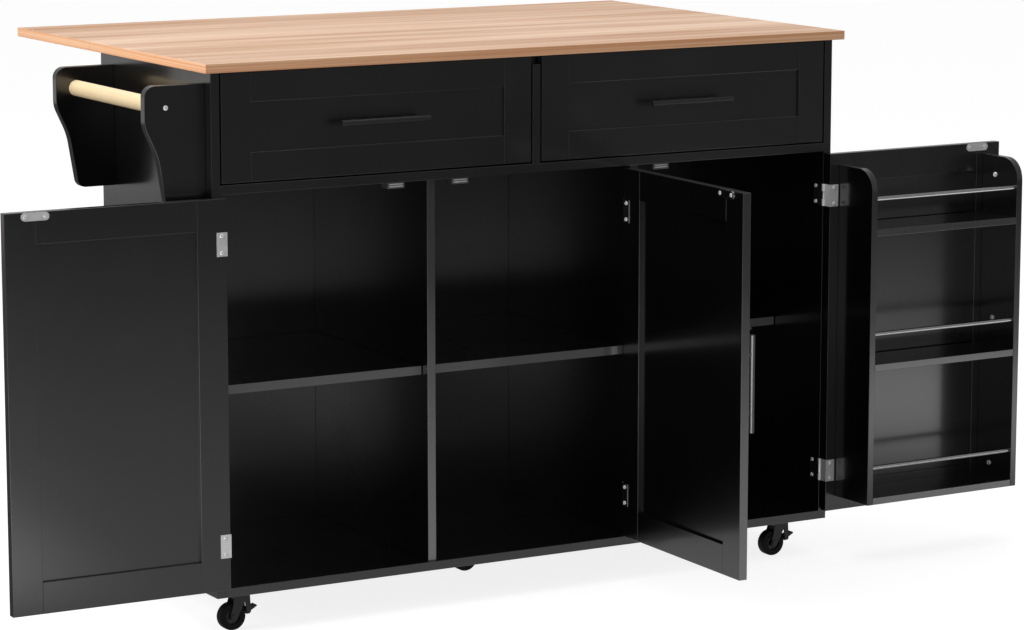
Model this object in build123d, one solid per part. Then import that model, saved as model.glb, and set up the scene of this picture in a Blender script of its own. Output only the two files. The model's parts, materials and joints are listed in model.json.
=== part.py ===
from build123d import *
from math import cos, radians, sin
import os

# A rolling kitchen island, in millimetres: a black cabinet on casters with three framed doors, two drawers,
# shelves, a spice rack on the right door, a towel rail on the left side and a worktop with a drop leaf
# behind. While it is built, x is across the cabinet from its middle, y runs back from the front of the side
# panels, and z is up from the floor. At the end everything is moved so that the origin is under the middle
# of the box.

# Cabinet
TOTAL_HEIGHT = 920.0
CABINET_WIDTH = 1174.0
CABINET_DEPTH = 425.0
CASTER_HEIGHT = 65.0
PANEL = 15.0
BACK_PANEL = 9.0
BACK_TOP_GAP = 2.0
DRAWER_SPACE = 178.0
DIVIDER_SETBACK = 8.0
STRETCHER_WIDTH = 60.0
STRETCHER_THICKNESS = 15.0
EASE = 0.8

# Worktop and drop leaf
TOP_THICKNESS = 15.0
TOP_OVERHANG = 15.0
TOP_BACK_OVERHANG = 12.0
SEAM = 1.0
LEAF_DEPTH = 311.0

# Leaf hinges: three flat hinges under the seam
LEAF_HINGE_SPREAD = 480.0
LEAF_HINGE_LENGTH = 60.0
LEAF_PLATE_WIDTH = 32.0
LEAF_PLATE = 1.5
LEAF_BARREL_RADIUS = 2.5
LEAF_PIN_RADIUS = 1.25
LEAF_PIN_DROP = 2.8

# Folding stays that prop the leaf
STAY_SPREAD = 330.0
STAY_DROP = 140.0
STAY_STANDOFF = 7.0
STAY_ANGLE = 46.0
STAY_WIDTH = 24.0
STAY_THICKNESS = 6.0
STAY_END_RADIUS = 4.5
STAY_ROLLER_RADIUS = 6.0
STAY_PIN_RADIUS = 2.0
STAY_BRACKET_HEIGHT = 40.0
STAY_BRACKET_PLATE = 1.5
STAY_EAR = 2.0
STAY_EAR_GAP = 0.5

# Framed doors and drawer fronts
FRONT_THICKNESS = 15.0
STILE = 50.0
RAIL = 50.0
DRAWER_STILE = 51.0
DRAWER_RAIL = 47.0
INFILL = 5.0
RECESS = 4.0
GROOVE = 5.0
REVEAL = 2.5
FREE_GAP = 1.6

# Door hinges: a leaf on the panel, a leaf on the door, and a pin just in front of the door's face
HINGE_GAP = 2.4
HINGE_PLATE = 1.0
HINGE_HEIGHT = 38.0
HINGE_END = 72.0
HINGE_PANEL_REACH = 26.0
HINGE_DOOR_REACH = 17.0
HINGE_SCREW_INSET = 5.5
BARREL_RADIUS = 2.5
BARREL_CLEARANCE = 0.2
HINGE_PIN_RADIUS = 1.25

# Poses of the doors in the photograph, as degrees open
SIDE_DOOR_OPEN = 181.0
MIDDLE_DOOR_OPEN = 89.0

# Clearances and small fasteners
PIN_CLEARANCE = 0.05
KNUCKLE_GAP = 0.3
SCREW_HEAD_RADIUS = 3.0
SCREW_HEAD = 0.6

# Bar handles
HANDLE_LENGTH = 160.0
HANDLE_CENTRES = 96.0
HANDLE_RADIUS = 5.0
HANDLE_POST_RADIUS = 4.0
HANDLE_OUT = 22.0
HANDLE_FROM_EDGE = 27.0

# Magnetic catches under the deck and the strike plates on the doors
STRIKE_LENGTH = 46.0
STRIKE_HEIGHT = 13.0
STRIKE_THICKNESS = 1.5
STRIKE_FROM_EDGE = 50.0
STRIKE_DROP = 7.0
CATCH_GAP = 0.5
CATCH_WIDTH = 31.0
CATCH_HEIGHT = 12.0
CATCH_DEPTH = 20.0
CATCH_FLANGE = 46.0
CATCH_FLANGE_THICKNESS = 1.5
MAGNET_PROUD = 0.4
MAGNET_HEIGHT = 2.6

# Shelves
SHELF_SETBACK = 27.0
SHELF_PLAY = 1.0
SUPPORT_WIDTH = 14.0
SUPPORT_REACH = 14.0
SUPPORT_HEIGHT = 20.0
SUPPORT_PLATE = 1.5
SUPPORT_SHARES = (0.3, 0.7)

# Spice rack on the right door
RACK_FROM_HINGE = 19.0
RACK_FROM_EDGE = 23.5
RACK_DEPTH = 96.0
RACK_SIDE = 12.0
RACK_BOARD = 12.0
RACK_RAISE = 25.5
RACK_TOP_DROP = 19.5
RACK_CORNER = 37.0
RACK_TOP_SPACE = 114.0
RACK_TIERS = 3
ROD_RADIUS = 4.0
ROD_ABOVE_BOARD = 51.5
ROD_FROM_FRONT = 8.0
RACK_SHELF_GAP = 33.0
RACK_FIXING_RADIUS = 4.0
RACK_FIXING = 2.5
RACK_FIXING_IN = 36.0
RACK_FIXING_SHARES = (0.055, 0.5052, 0.9424)

# Towel rail on the left side
ARM_THICKNESS = 15.0
ARM_REACH = 102.5
ARM_WAIST = 80.5
ARM_FOOT = 66.0
ARM_HEIGHT = 199.0
ARM_SHOULDER_DROP = 64.5
ARM_WAIST_DROP = 111.5
ARM_TOP_DROP = 18.5
ARM_TOP_RADIUS = 18.0
ARM_SHOULDER_RADIUS = 45.0
ARM_WAIST_RADIUS = 110.0
ARM_FOOT_RADIUS = 15.0
ARM_SETBACK = 21.5
ARM_SPACING = 350.5
DOWEL_RADIUS = 13.0
DOWEL_REACH = 67.0
DOWEL_DROP = 35.0
DOWEL_SCREW_RADIUS = 2.0
DOWEL_SCREW_DEPTH = 20.0
DOWEL_HEAD_RADIUS = 4.0
DOWEL_HEAD = 2.0

# Drawers and their runners
DRAWER_SIDE = 12.0
DRAWER_BOTTOM = 4.0
DRAWER_BOX_HEIGHT = 120.0
DRAWER_BACK_GAP = 21.0
DRAWER_BOX_RAISE = 8.0
DRAWER_BOTTOM_RAISE = 10.0
RUNNER_SPACE = 13.0
RUNNER_WALL = 1.2
RUNNER_HEIGHT = 36.0
RUNNER_LIP = 10.0
RUNNER_RAISE = 40.0
RUNNER_START = 22.0
RUNNER_PLAY = 0.3

# Casters
CASTER_INSET_X = 64.5
CASTER_INSET_Y = 45.0
CASTER_TRAIL = 20.0
CASTER_PLATE = 46.0
CASTER_PLATE_THICKNESS = 2.5
CASTER_SCREW_CENTRES = 34.0
CASTER_SCREW_HEAD = 1.8
RACE_RADIUS = 14.0
RACE_HEIGHT = 5.0
KINGPIN_RADIUS = 5.0
KINGPIN_HEAD_RADIUS = 8.0
KINGPIN_HEAD = 2.0
CROWN_THICKNESS = 3.5
CROWN_BACK = 22.0
CROWN_FRONT = 8.5
FORK_LEG_BACK = 17.0
FORK_LEG_FRONT = 3.0
FORK_WALL = 2.2
FORK_SIDE_GAP = 1.3
FORK_BOSS_RADIUS = 6.5
WHEEL_RADIUS = 22.5
WHEEL_WIDTH = 17.0
TYRE_THICKNESS = 7.5
TYRE_ROUND = 2.5
HUB_RIM = 2.5
HUB_WEB = 6.0
HUB_BOSS_RADIUS = 6.0
HUB_BOSS_PROUD = 0.8
AXLE_RADIUS = 3.0
AXLE_HEAD_RADIUS = 5.0
AXLE_HEAD = 1.5

# Brake levers on the front casters
LEVER_PIN_ANGLE = 15.0
LEVER_WHEEL_GAP = 1.2
LEVER_PIN_RADIUS = 1.5
LEVER_EAR_RADIUS = 3.8
LEVER_HUB_RADIUS = 3.4
LEVER_HALF_WIDTH = 7.0
LEVER_LENGTH = 15.5
LEVER_RISE = 6.5
LEVER_TIP = 1.4
LEVER_SHOE_DROP = 5.5
LEVER_SHOE_HALF = 1.6

# Levels and places worked out from the sizes above
HALF_WIDTH = CABINET_WIDTH / 2
INNER = HALF_WIDTH - PANEL
BACK_INNER = CABINET_DEPTH - BACK_PANEL
TOP_LOW = TOTAL_HEIGHT - TOP_THICKNESS
BASE_TOP = CASTER_HEIGHT + PANEL
DECK_TOP = TOP_LOW - DRAWER_SPACE
DECK_LOW = DECK_TOP - PANEL
STRETCHER_LOW = TOP_LOW - STRETCHER_THICKNESS
BAY = (2 * INNER - 2 * PANEL) / 3
BAYS = [(-INNER + i * (BAY + PANEL), -INNER + i * (BAY + PANEL) + BAY) for i in range(3)]
SEAM_Y = CABINET_DEPTH + TOP_BACK_OVERHANG
DOOR_WIDTH = BAY - HINGE_GAP - FREE_GAP
DOOR_LOW = BASE_TOP + REVEAL
DOOR_HIGH = DECK_LOW - REVEAL
DOOR_MIDDLE = (DOOR_LOW + DOOR_HIGH) / 2
PIN_OUT = BARREL_RADIUS + BARREL_CLEARANCE
DOOR_INNER = PIN_OUT + FRONT_THICKNESS
HINGE_LEVELS = (DOOR_LOW + HINGE_END, DOOR_HIGH - HINGE_END)
RACK_WIDTH = DOOR_WIDTH - RACK_FROM_HINGE - RACK_FROM_EDGE
RACK_HEIGHT = DOOR_HIGH - DOOR_LOW - RACK_RAISE - RACK_TOP_DROP
RACK_PITCH = (RACK_HEIGHT - RACK_TOP_SPACE) / (RACK_TIERS - 1)
DRAWER_BOX_DEPTH = BACK_INNER - FRONT_THICKNESS - DRAWER_BACK_GAP

# Each door: its side of the pin (1 reaches right when closed), the panel face it hangs on, and how far it
# stands open
DOORS = {
    "left_door": (1, BAYS[0][0], SIDE_DOOR_OPEN),
    "middle_door": (-1, BAYS[1][1], MIDDLE_DOOR_OPEN),
    "right_door": (-1, BAYS[2][1], SIDE_DOOR_OPEN),
}

LEAF_PIN_Y = SEAM_Y + SEAM / 2
LEAF_PIN_Z = TOP_LOW - LEAF_PIN_DROP
STAY_PIN_Y = CABINET_DEPTH + STAY_STANDOFF
STAY_PIN_Z = TOP_LOW - STAY_DROP

LEVER_PIN_REACH = WHEEL_RADIUS + LEVER_WHEEL_GAP + LEVER_HUB_RADIUS
LEVER_PIN_X = LEVER_PIN_REACH * cos(radians(LEVER_PIN_ANGLE)) - CASTER_TRAIL
LEVER_PIN_HEIGHT = WHEEL_RADIUS + LEVER_PIN_REACH * sin(radians(LEVER_PIN_ANGLE))

CASTERS = {
    "front_left": (-HALF_WIDTH + CASTER_INSET_X, CASTER_INSET_Y),
    "front_right": (HALF_WIDTH - CASTER_INSET_X, CASTER_INSET_Y),
    "middle": (0.0, CABINET_DEPTH / 2),
    "rear_left": (-HALF_WIDTH + CASTER_INSET_X, CABINET_DEPTH - CASTER_INSET_Y),
    "rear_right": (HALF_WIDTH - CASTER_INSET_X, CABINET_DEPTH - CASTER_INSET_Y),
}
BRAKED = ("front_left", "front_right")

nodes = {}


def block(x, y, z, ease=0.0):
    """A board between two places on each axis, with its edges rounded by ease."""
    spans = [sorted(pair) for pair in (x, y, z)]
    centre = [(low + high) / 2 for low, high in spans]
    solid = Pos(*centre) * Box(*[high - low for low, high in spans])
    if ease:
        solid = fillet(solid.edges(), ease)
    return solid


def rod(axis, first, second, span, radius):
    """A round bar along an axis over a span; first and second place it on the other axes, in xyz order."""
    low, high = sorted(span)
    middle = (low + high) / 2
    if axis == "x":
        return Pos(middle, first, second) * Rot(0, 90, 0) * Cylinder(radius, high - low)
    if axis == "y":
        return Pos(first, middle, second) * Rot(90, 0, 0) * Cylinder(radius, high - low)
    return Pos(first, second, middle) * Cylinder(radius, high - low)


def framed_front(x, y, z, stile, rail):
    """Two full-height stiles, two rails between them and a thin infill held in their grooves."""
    (left, right), (front, _), (low, high) = x, y, z
    inset = stile - GROOVE
    drop = rail - GROOVE
    depth = (front + RECESS, front + RECESS + INFILL)
    infill = block((left + inset, right - inset), depth, (low + drop, high - drop))
    pieces = [infill]
    for edge in ((left, left + stile), (right - stile, right)):
        pieces.append(block(edge, y, z, EASE) - infill)
    for level in ((low, low + rail), (high - rail, high)):
        pieces.append(block((left + stile, right - stile), y, level, EASE) - infill)
    return pieces


def bar_handle(root):
    """A bar along x in front of a face at y = 0, on two posts that reach root behind that face."""
    bar = rod("x", -HANDLE_OUT, 0, (-HANDLE_LENGTH / 2, HANDLE_LENGTH / 2), HANDLE_RADIUS)
    bar = fillet(bar.edges(), EASE)
    posts = []
    for x in (-HANDLE_CENTRES / 2, HANDLE_CENTRES / 2):
        posts.append(rod("y", x, 0, (-HANDLE_OUT, root), HANDLE_POST_RADIUS) - bar)
    return [bar] + posts


def cabinet():
    """The carcass: panels, boards, dividers, back and the rails under the worktop."""
    depth = (0, BACK_INNER)
    full_height = (CASTER_HEIGHT, TOP_LOW)
    nodes["side_panel_left"] = [block((-HALF_WIDTH, -INNER), (0, CABINET_DEPTH), full_height, EASE)]
    nodes["side_panel_right"] = [block((INNER, HALF_WIDTH), (0, CABINET_DEPTH), full_height, EASE)]
    nodes["bottom_board"] = [block((-INNER, INNER), depth, (CASTER_HEIGHT, BASE_TOP), EASE)]
    nodes["deck_board"] = [block((-INNER, INNER), depth, (DECK_LOW, DECK_TOP), EASE)]
    for name, bay in (("divider_left", 0), ("divider_right", 1)):
        between = (BAYS[bay][1], BAYS[bay + 1][0])
        nodes[name] = [block(between, (DIVIDER_SETBACK, BACK_INNER), (BASE_TOP, DECK_LOW), EASE)]
    nodes["drawer_divider"] = [block((-PANEL / 2, PANEL / 2), depth, (DECK_TOP, STRETCHER_LOW), EASE)]
    nodes["back_panel"] = [
        block((-INNER, INNER), (BACK_INNER, CABINET_DEPTH), (CASTER_HEIGHT, TOP_LOW - BACK_TOP_GAP))
    ]
    front = FRONT_THICKNESS + REVEAL
    rear = LEAF_PIN_Y - LEAF_BARREL_RADIUS - LEAF_PLATE_WIDTH - REVEAL
    nodes["top_stretchers"] = [
        block((-INNER, INNER), span, (STRETCHER_LOW, TOP_LOW))
        for span in ((front, front + STRETCHER_WIDTH), (rear - STRETCHER_WIDTH, rear))
    ]


def shelves():
    """A full shelf in the left and middle bays, a short one behind the rack, and angles under their ends."""
    top = (BASE_TOP + DECK_LOW + PANEL) / 2
    low = top - PANEL
    back = BACK_INNER - SHELF_PLAY
    short_front = FRONT_THICKNESS + RACK_DEPTH + RACK_SHELF_GAP
    supports = []
    made = []
    for (left, right), front in zip(BAYS, (SHELF_SETBACK, SHELF_SETBACK, short_front)):
        made.append(block((left + SHELF_PLAY, right - SHELF_PLAY), (front, back), (low, top), EASE))
        for face, inward in ((left, 1), (right, -1)):
            for share in SUPPORT_SHARES:
                y = front + share * (back - front)
                span = (y - SUPPORT_WIDTH / 2, y + SUPPORT_WIDTH / 2)
                plate = block((face, face + inward * SUPPORT_PLATE), span, (low - SUPPORT_HEIGHT, low))
                foot = block((face, face + inward * SUPPORT_REACH), span, (low - SUPPORT_PLATE, low))
                supports.append(plate + foot)
    nodes["full_shelves"] = made[:2]
    nodes["short_shelf"] = made[2:]
    nodes["shelf_supports"] = supports


def towel_rail():
    """Two shaped arms on the left side panel with a wooden dowel screwed between them."""
    top = TOP_LOW - ARM_TOP_DROP
    outline = FilletPolyline(
        (0, top),
        (-ARM_REACH, top),
        (-ARM_REACH, top - ARM_SHOULDER_DROP),
        (-ARM_WAIST, top - ARM_WAIST_DROP),
        (-ARM_FOOT, top - ARM_HEIGHT),
        (0, top - ARM_HEIGHT),
        radius=[ARM_TOP_RADIUS, ARM_SHOULDER_RADIUS, ARM_WAIST_RADIUS, ARM_FOOT_RADIUS],
    )
    face = make_face([outline, Line((0, top - ARM_HEIGHT), (0, top))])
    arm = extrude(Plane.XZ * face, ARM_THICKNESS, dir=(0, 1, 0))
    arm = fillet(arm.edges(), EASE)
    x = -HALF_WIDTH - DOWEL_REACH
    z = top - DOWEL_DROP
    front = ARM_SETBACK
    rear = ARM_SETBACK + ARM_SPACING
    hole_radius = DOWEL_SCREW_RADIUS + PIN_CLEARANCE
    hole = rod("y", x, z, (front, front + ARM_THICKNESS + DOWEL_SCREW_DEPTH), hole_radius)
    hole += rod("y", x, z, (rear - DOWEL_SCREW_DEPTH, rear + ARM_THICKNESS), hole_radius)
    nodes["towel_arm_front"] = [Pos(-HALF_WIDTH, front, 0) * arm - hole]
    nodes["towel_arm_rear"] = [Pos(-HALF_WIDTH, rear, 0) * arm - hole]
    nodes["towel_dowel"] = [rod("y", x, z, (front + ARM_THICKNESS, rear), DOWEL_RADIUS) - hole]
    screws = []
    for outer, inward in ((front, 1), (rear + ARM_THICKNESS, -1)):
        reach = inward * (ARM_THICKNESS + DOWEL_SCREW_DEPTH)
        head = rod("y", x, z, (outer - inward * DOWEL_HEAD, outer), DOWEL_HEAD_RADIUS)
        screws.append(head + rod("y", x, z, (outer, outer + reach), DOWEL_SCREW_RADIUS))
    nodes["towel_rail_screws"] = screws


def worktop_and_leaf():
    """The fixed worktop, the leaf that drops behind it, and three hinges under the seam."""
    half = HALF_WIDTH + TOP_OVERHANG
    height = (TOP_LOW, TOTAL_HEIGHT)
    nodes["worktop"] = [block((-half, half), (-TOP_OVERHANG, SEAM_Y), height, EASE)]
    leaf_front = SEAM_Y + SEAM
    nodes["drop_leaf"] = [block((-half, half), (leaf_front, leaf_front + LEAF_DEPTH), height, EASE)]
    plate_height = (TOP_LOW - LEAF_PLATE, TOP_LOW)
    start = LEAF_BARREL_RADIUS + KNUCKLE_GAP
    third = LEAF_HINGE_LENGTH / 3
    fixed = []
    moving = []
    for middle in (-LEAF_HINGE_SPREAD, 0.0, LEAF_HINGE_SPREAD):
        span = (middle - LEAF_HINGE_LENGTH / 2, middle + LEAF_HINGE_LENGTH / 2)
        bore = rod("x", LEAF_PIN_Y, LEAF_PIN_Z, span, LEAF_PIN_RADIUS + PIN_CLEARANCE)
        outer = [(span[0], span[0] + third - KNUCKLE_GAP), (span[1] - third + KNUCKLE_GAP, span[1])]
        for leaves, side, knuckles in ((fixed, -1, outer), (moving, 1, [(span[0] + third, span[1] - third)])):
            near = LEAF_PIN_Y + side * start
            far = LEAF_PIN_Y + side * (LEAF_BARREL_RADIUS + LEAF_PLATE_WIDTH)
            leaf = block(span, (near, far), plate_height)
            for knuckle in knuckles:
                leaf += rod("x", LEAF_PIN_Y, LEAF_PIN_Z, knuckle, LEAF_BARREL_RADIUS)
                leaf += block(knuckle, (LEAF_PIN_Y, near), (plate_height[0], LEAF_PIN_Z + LEAF_BARREL_RADIUS))
            leaves.append(leaf - bore)
        fixed.append(rod("x", LEAF_PIN_Y, LEAF_PIN_Z, span, LEAF_PIN_RADIUS))
    nodes["leaf_hinge_fixed_plates"] = fixed
    nodes["leaf_hinge_moving_plates"] = moving


def leaf_stays():
    """Two flat bars hinged on the back that prop the leaf on rollers, and fold down with it."""
    rise = STAY_DROP - STAY_ROLLER_RADIUS - KNUCKLE_GAP
    slope = Rot(STAY_ANGLE, 0, 0)
    length = rise / Plane(slope).y_dir.Z
    brackets = []
    for name, x in (("leaf_stay_left", -STAY_SPREAD), ("leaf_stay_right", STAY_SPREAD)):
        half = STAY_WIDTH / 2
        span = (-half, half)
        bar = block(span, (0, length - STAY_ROLLER_RADIUS), (-STAY_THICKNESS / 2, STAY_THICKNESS / 2))
        bar += rod("x", 0, 0, span, STAY_END_RADIUS)
        bar -= rod("x", 0, 0, span, STAY_PIN_RADIUS + PIN_CLEARANCE)
        roller = rod("x", length, 0, span, STAY_ROLLER_RADIUS)
        place = Pos(x, STAY_PIN_Y, STAY_PIN_Z) * slope
        nodes[name] = [place * (bar - roller), place * roller]
        inner = half + STAY_EAR_GAP
        outer = inner + STAY_EAR
        height = (STAY_PIN_Z - STAY_BRACKET_HEIGHT / 2, STAY_PIN_Z + STAY_BRACKET_HEIGHT / 2)
        plate_back = CABINET_DEPTH + STAY_BRACKET_PLATE
        bracket = block((x - outer, x + outer), (CABINET_DEPTH, plate_back), height)
        for side in (-1, 1):
            ear_span = (x + side * inner, x + side * outer)
            ear_height = (STAY_PIN_Z - STAY_END_RADIUS, STAY_PIN_Z + STAY_END_RADIUS)
            bracket += block(ear_span, (CABINET_DEPTH, STAY_PIN_Y), ear_height)
            bracket += rod("x", STAY_PIN_Y, STAY_PIN_Z, ear_span, STAY_END_RADIUS)
        pin_span = (x - outer, x + outer)
        bracket -= rod("x", STAY_PIN_Y, STAY_PIN_Z, pin_span, STAY_PIN_RADIUS + PIN_CLEARANCE)
        brackets += [bracket, rod("x", STAY_PIN_Y, STAY_PIN_Z, pin_span, STAY_PIN_RADIUS)]
    nodes["stay_brackets"] = brackets


def door_pin(name):
    """Where a door's hinge pin stands."""
    side, face, _ = DOORS[name]
    return face + side * HINGE_GAP / 2, -PIN_OUT


def place_on_door(name, pieces):
    """Turns pieces drawn about a pin at the origin, on a closed door that reaches right, to the open pose."""
    side, _, opened = DOORS[name]
    x, y = door_pin(name)
    if side < 0:
        pieces = [piece.mirror(Plane.YZ) for piece in pieces]
    return [Pos(x, y, 0) * Rot(0, 0, -side * opened) * piece for piece in pieces]


def knuckles(level):
    """The heights of a hinge's middle knuckle and of its two end knuckles."""
    low, high = level - HINGE_HEIGHT / 2, level + HINGE_HEIGHT / 2
    third = HINGE_HEIGHT / 3
    outer = [(low, low + third - KNUCKLE_GAP), (high - third + KNUCKLE_GAP, high)]
    return [(low + third, high - third)], outer


def hinge_leaf(plates, neck_x, heights):
    """Joins a leaf's plates to its knuckles about the pin at the origin, and bores them for the pin."""
    leaf = plates
    for height in heights:
        leaf += block(neck_x, (0, PIN_OUT), height)
        leaf += rod("z", 0, 0, height, BARREL_RADIUS)
        leaf -= rod("z", 0, 0, height, HINGE_PIN_RADIUS + PIN_CLEARANCE)
    return leaf


def panel_leaves():
    """The hinge leaves on the side panels and the right divider, with their pins."""
    pieces = []
    near = HINGE_GAP / 2
    screw_y = PIN_OUT + HINGE_PANEL_REACH - HINGE_SCREW_INSET
    for name, (side, _, _) in DOORS.items():
        x, y = door_pin(name)
        for level in HINGE_LEVELS:
            height = (level - HINGE_HEIGHT / 2, level + HINGE_HEIGHT / 2)
            plate_x = (-near, HINGE_PLATE - near)
            plate = block(plate_x, (PIN_OUT, PIN_OUT + HINGE_PANEL_REACH), height)
            leaf = [hinge_leaf(plate, plate_x, knuckles(level)[0])]
            head = (plate_x[1], plate_x[1] + SCREW_HEAD)
            for screw_z in (height[0] + HINGE_SCREW_INSET, height[1] - HINGE_SCREW_INSET):
                leaf.append(rod("x", screw_y, screw_z, head, SCREW_HEAD_RADIUS))
            if side < 0:
                leaf = [piece.mirror(Plane.YZ) for piece in leaf]
            leaf.append(rod("z", 0, 0, height, HINGE_PIN_RADIUS))
            pieces += [Pos(x, y, 0) * piece for piece in leaf]
    nodes["door_hinge_panel_leaves"] = pieces


def door_leaves():
    """The hinge leaves on a door, wrapped on to its inner face, each with two screws."""
    pieces = []
    edge = HINGE_GAP / 2
    plate_x = (edge - HINGE_PLATE, edge)
    for level in HINGE_LEVELS:
        height = (level - HINGE_HEIGHT / 2, level + HINGE_HEIGHT / 2)
        plates = block(plate_x, (PIN_OUT, DOOR_INNER + HINGE_PLATE), height)
        plates += block((edge, edge + HINGE_DOOR_REACH), (DOOR_INNER, DOOR_INNER + HINGE_PLATE), height)
        pieces.append(hinge_leaf(plates, plate_x, knuckles(level)[1]))
        face = DOOR_INNER + HINGE_PLATE
        head = (face, face + SCREW_HEAD)
        for screw_z in (height[0] + HINGE_SCREW_INSET, height[1] - HINGE_SCREW_INSET):
            pieces.append(rod("y", edge + HINGE_DOOR_REACH / 2, screw_z, head, SCREW_HEAD_RADIUS))
    return pieces


def strike_plate():
    """The steel plate near a door's free top corner that meets the catch, with its two screws."""
    x = HINGE_GAP / 2 + DOOR_WIDTH - STRIKE_FROM_EDGE
    z = DOOR_HIGH - STRIKE_DROP
    flat = Pos(x, DOOR_INNER, z) * Rot(-90, 0, 0) * SlotOverall(STRIKE_LENGTH, STRIKE_HEIGHT)
    face = DOOR_INNER + STRIKE_THICKNESS
    pieces = [extrude(flat, STRIKE_THICKNESS, dir=(0, 1, 0))]
    offset = (STRIKE_LENGTH - STRIKE_HEIGHT) / 2
    for middle in (x - offset, x + offset):
        pieces.append(rod("y", middle, z, (face, face + SCREW_HEAD), SCREW_HEAD_RADIUS))
    return pieces


def doors():
    """Three framed doors, each with its bar handle, its hinge leaves and its strike plate."""
    left = HINGE_GAP / 2
    for name in DOORS:
        spans = ((left, left + DOOR_WIDTH), (PIN_OUT, DOOR_INNER), (DOOR_LOW, DOOR_HIGH))
        frame = framed_front(*spans, STILE, RAIL)
        nodes[name] = place_on_door(name, frame)
        seat = Pos(left + DOOR_WIDTH - HANDLE_FROM_EDGE, PIN_OUT, DOOR_MIDDLE) * Rot(0, 90, 0)
        nodes[name + "_handle"] = place_on_door(name, [seat * piece for piece in bar_handle(0)])
        nodes[name + "_fittings"] = place_on_door(name, door_leaves() + strike_plate())


def catches():
    """A magnetic catch under the deck behind each door's strike plate, with two magnet bars in its face."""
    front = FRONT_THICKNESS + STRIKE_THICKNESS + CATCH_GAP
    case_front = front + MAGNET_PROUD
    pieces = []
    for name, (side, _, _) in DOORS.items():
        x = door_pin(name)[0] + side * (HINGE_GAP / 2 + DOOR_WIDTH - STRIKE_FROM_EDGE)
        depth = (case_front, case_front + CATCH_DEPTH)
        low = DECK_LOW - CATCH_HEIGHT
        case = block((x - CATCH_WIDTH / 2, x + CATCH_WIDTH / 2), depth, (low, DECK_LOW))
        flange_height = (DECK_LOW - CATCH_FLANGE_THICKNESS, DECK_LOW)
        case += block((x - CATCH_FLANGE / 2, x + CATCH_FLANGE / 2), depth, flange_height)
        pieces.append(case)
        for step in (1, 2):
            middle = low + step * (CATCH_HEIGHT - CATCH_FLANGE_THICKNESS) / 3
            height = (middle - MAGNET_HEIGHT / 2, middle + MAGNET_HEIGHT / 2)
            reach = CATCH_WIDTH / 2 - MAGNET_HEIGHT
            pieces.append(block((x - reach, x + reach), (front, case_front), height))
    nodes["magnetic_catches"] = pieces


def spice_rack():
    """The rack inside the right door: two sides, boards for three tiers and a rod in front of each."""
    left = HINGE_GAP / 2 + RACK_FROM_HINGE
    right = left + RACK_WIDTH
    low = DOOR_LOW + RACK_RAISE
    high = low + RACK_HEIGHT
    front = DOOR_INNER + RACK_DEPTH
    sides = []
    for span in ((left, left + RACK_SIDE), (right - RACK_SIDE, right)):
        side = block(span, (DOOR_INNER, front), (low, high))
        corner = max(side.edges().filter_by(Axis.X), key=lambda edge: edge.center().Y + edge.center().Z)
        rounded = fillet(corner, RACK_CORNER)
        sides.append(fillet(rounded.edges(), EASE))
    boards = []
    rods = []
    fixings = []
    inside = (left + RACK_SIDE, right - RACK_SIDE)
    for tier in range(RACK_TIERS):
        top = low + RACK_BOARD + tier * RACK_PITCH
        rod_level = top + ROD_ABOVE_BOARD
        boards.append(block(inside, (DOOR_INNER, front), (top - RACK_BOARD, top), EASE))
        rods.append(rod("x", front - ROD_FROM_FRONT, rod_level, inside, ROD_RADIUS))
    for share in RACK_FIXING_SHARES:
        for face, inward in ((inside[0], 1), (inside[1], -1)):
            head = (face, face + inward * RACK_FIXING)
            level = low + share * RACK_HEIGHT
            fixings.append(rod("x", DOOR_INNER + RACK_FIXING_IN, level, head, RACK_FIXING_RADIUS))
    for name, pieces in (("sides", sides), ("boards", boards), ("rods", rods), ("fixings", fixings)):
        nodes["rack_" + name] = place_on_door("right_door", pieces)


def drawers():
    """Two drawers: a framed front, a box behind it, a bar handle, and rails that run in channels."""
    channels = []
    front_height = (DECK_TOP + REVEAL, TOP_LOW - REVEAL)
    depth = (FRONT_THICKNESS, FRONT_THICKNESS + DRAWER_BOX_DEPTH)
    low = DECK_TOP + DRAWER_BOX_RAISE
    height = (low, low + DRAWER_BOX_HEIGHT)
    level = low + RUNNER_RAISE
    for name, faces in (("left_drawer", (-INNER, -PANEL / 2)), ("right_drawer", (PANEL / 2, INNER))):
        front_x = (faces[0] + REVEAL, faces[1] - REVEAL)
        spans = (front_x, (0, FRONT_THICKNESS), front_height)
        nodes[name + "_front"] = framed_front(*spans, DRAWER_STILE, DRAWER_RAIL)
        seat = Pos(sum(front_x) / 2, 0, sum(front_height) / 2)
        nodes[name + "_handle"] = [seat * piece for piece in bar_handle(RECESS)]
        left, right = faces[0] + RUNNER_SPACE, faces[1] - RUNNER_SPACE
        inside = (left + DRAWER_SIDE, right - DRAWER_SIDE)
        back = (depth[1] - DRAWER_SIDE, depth[1])
        floor = (low + DRAWER_BOTTOM_RAISE, low + DRAWER_BOTTOM_RAISE + DRAWER_BOTTOM)
        nodes[name + "_box"] = [
            block((left, inside[0]), depth, height, EASE),
            block((inside[1], right), depth, height, EASE),
            block(inside, back, height, EASE),
            block(inside, (depth[0], back[0]), floor),
        ]
        rails = []
        for face, inward in ((faces[0], 1), (faces[1], -1)):
            run = (RUNNER_START, depth[1])
            half = RUNNER_HEIGHT / 2
            channel = block((face, face + inward * RUNNER_WALL), run, (level - half, level + half))
            for sign in (-1, 1):
                lip = (level + sign * half, level + sign * (half - RUNNER_WALL))
                channel += block((face, face + inward * RUNNER_LIP), run, lip)
            channels.append(channel)
            rail_half = half - RUNNER_WALL - RUNNER_PLAY
            rail_x = (face + inward * (RUNNER_WALL + RUNNER_PLAY), face + inward * RUNNER_SPACE)
            rails.append(block(rail_x, run, (level - rail_half, level + rail_half)))
        nodes[name + "_rails"] = rails
    nodes["drawer_runner_channels"] = channels


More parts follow.
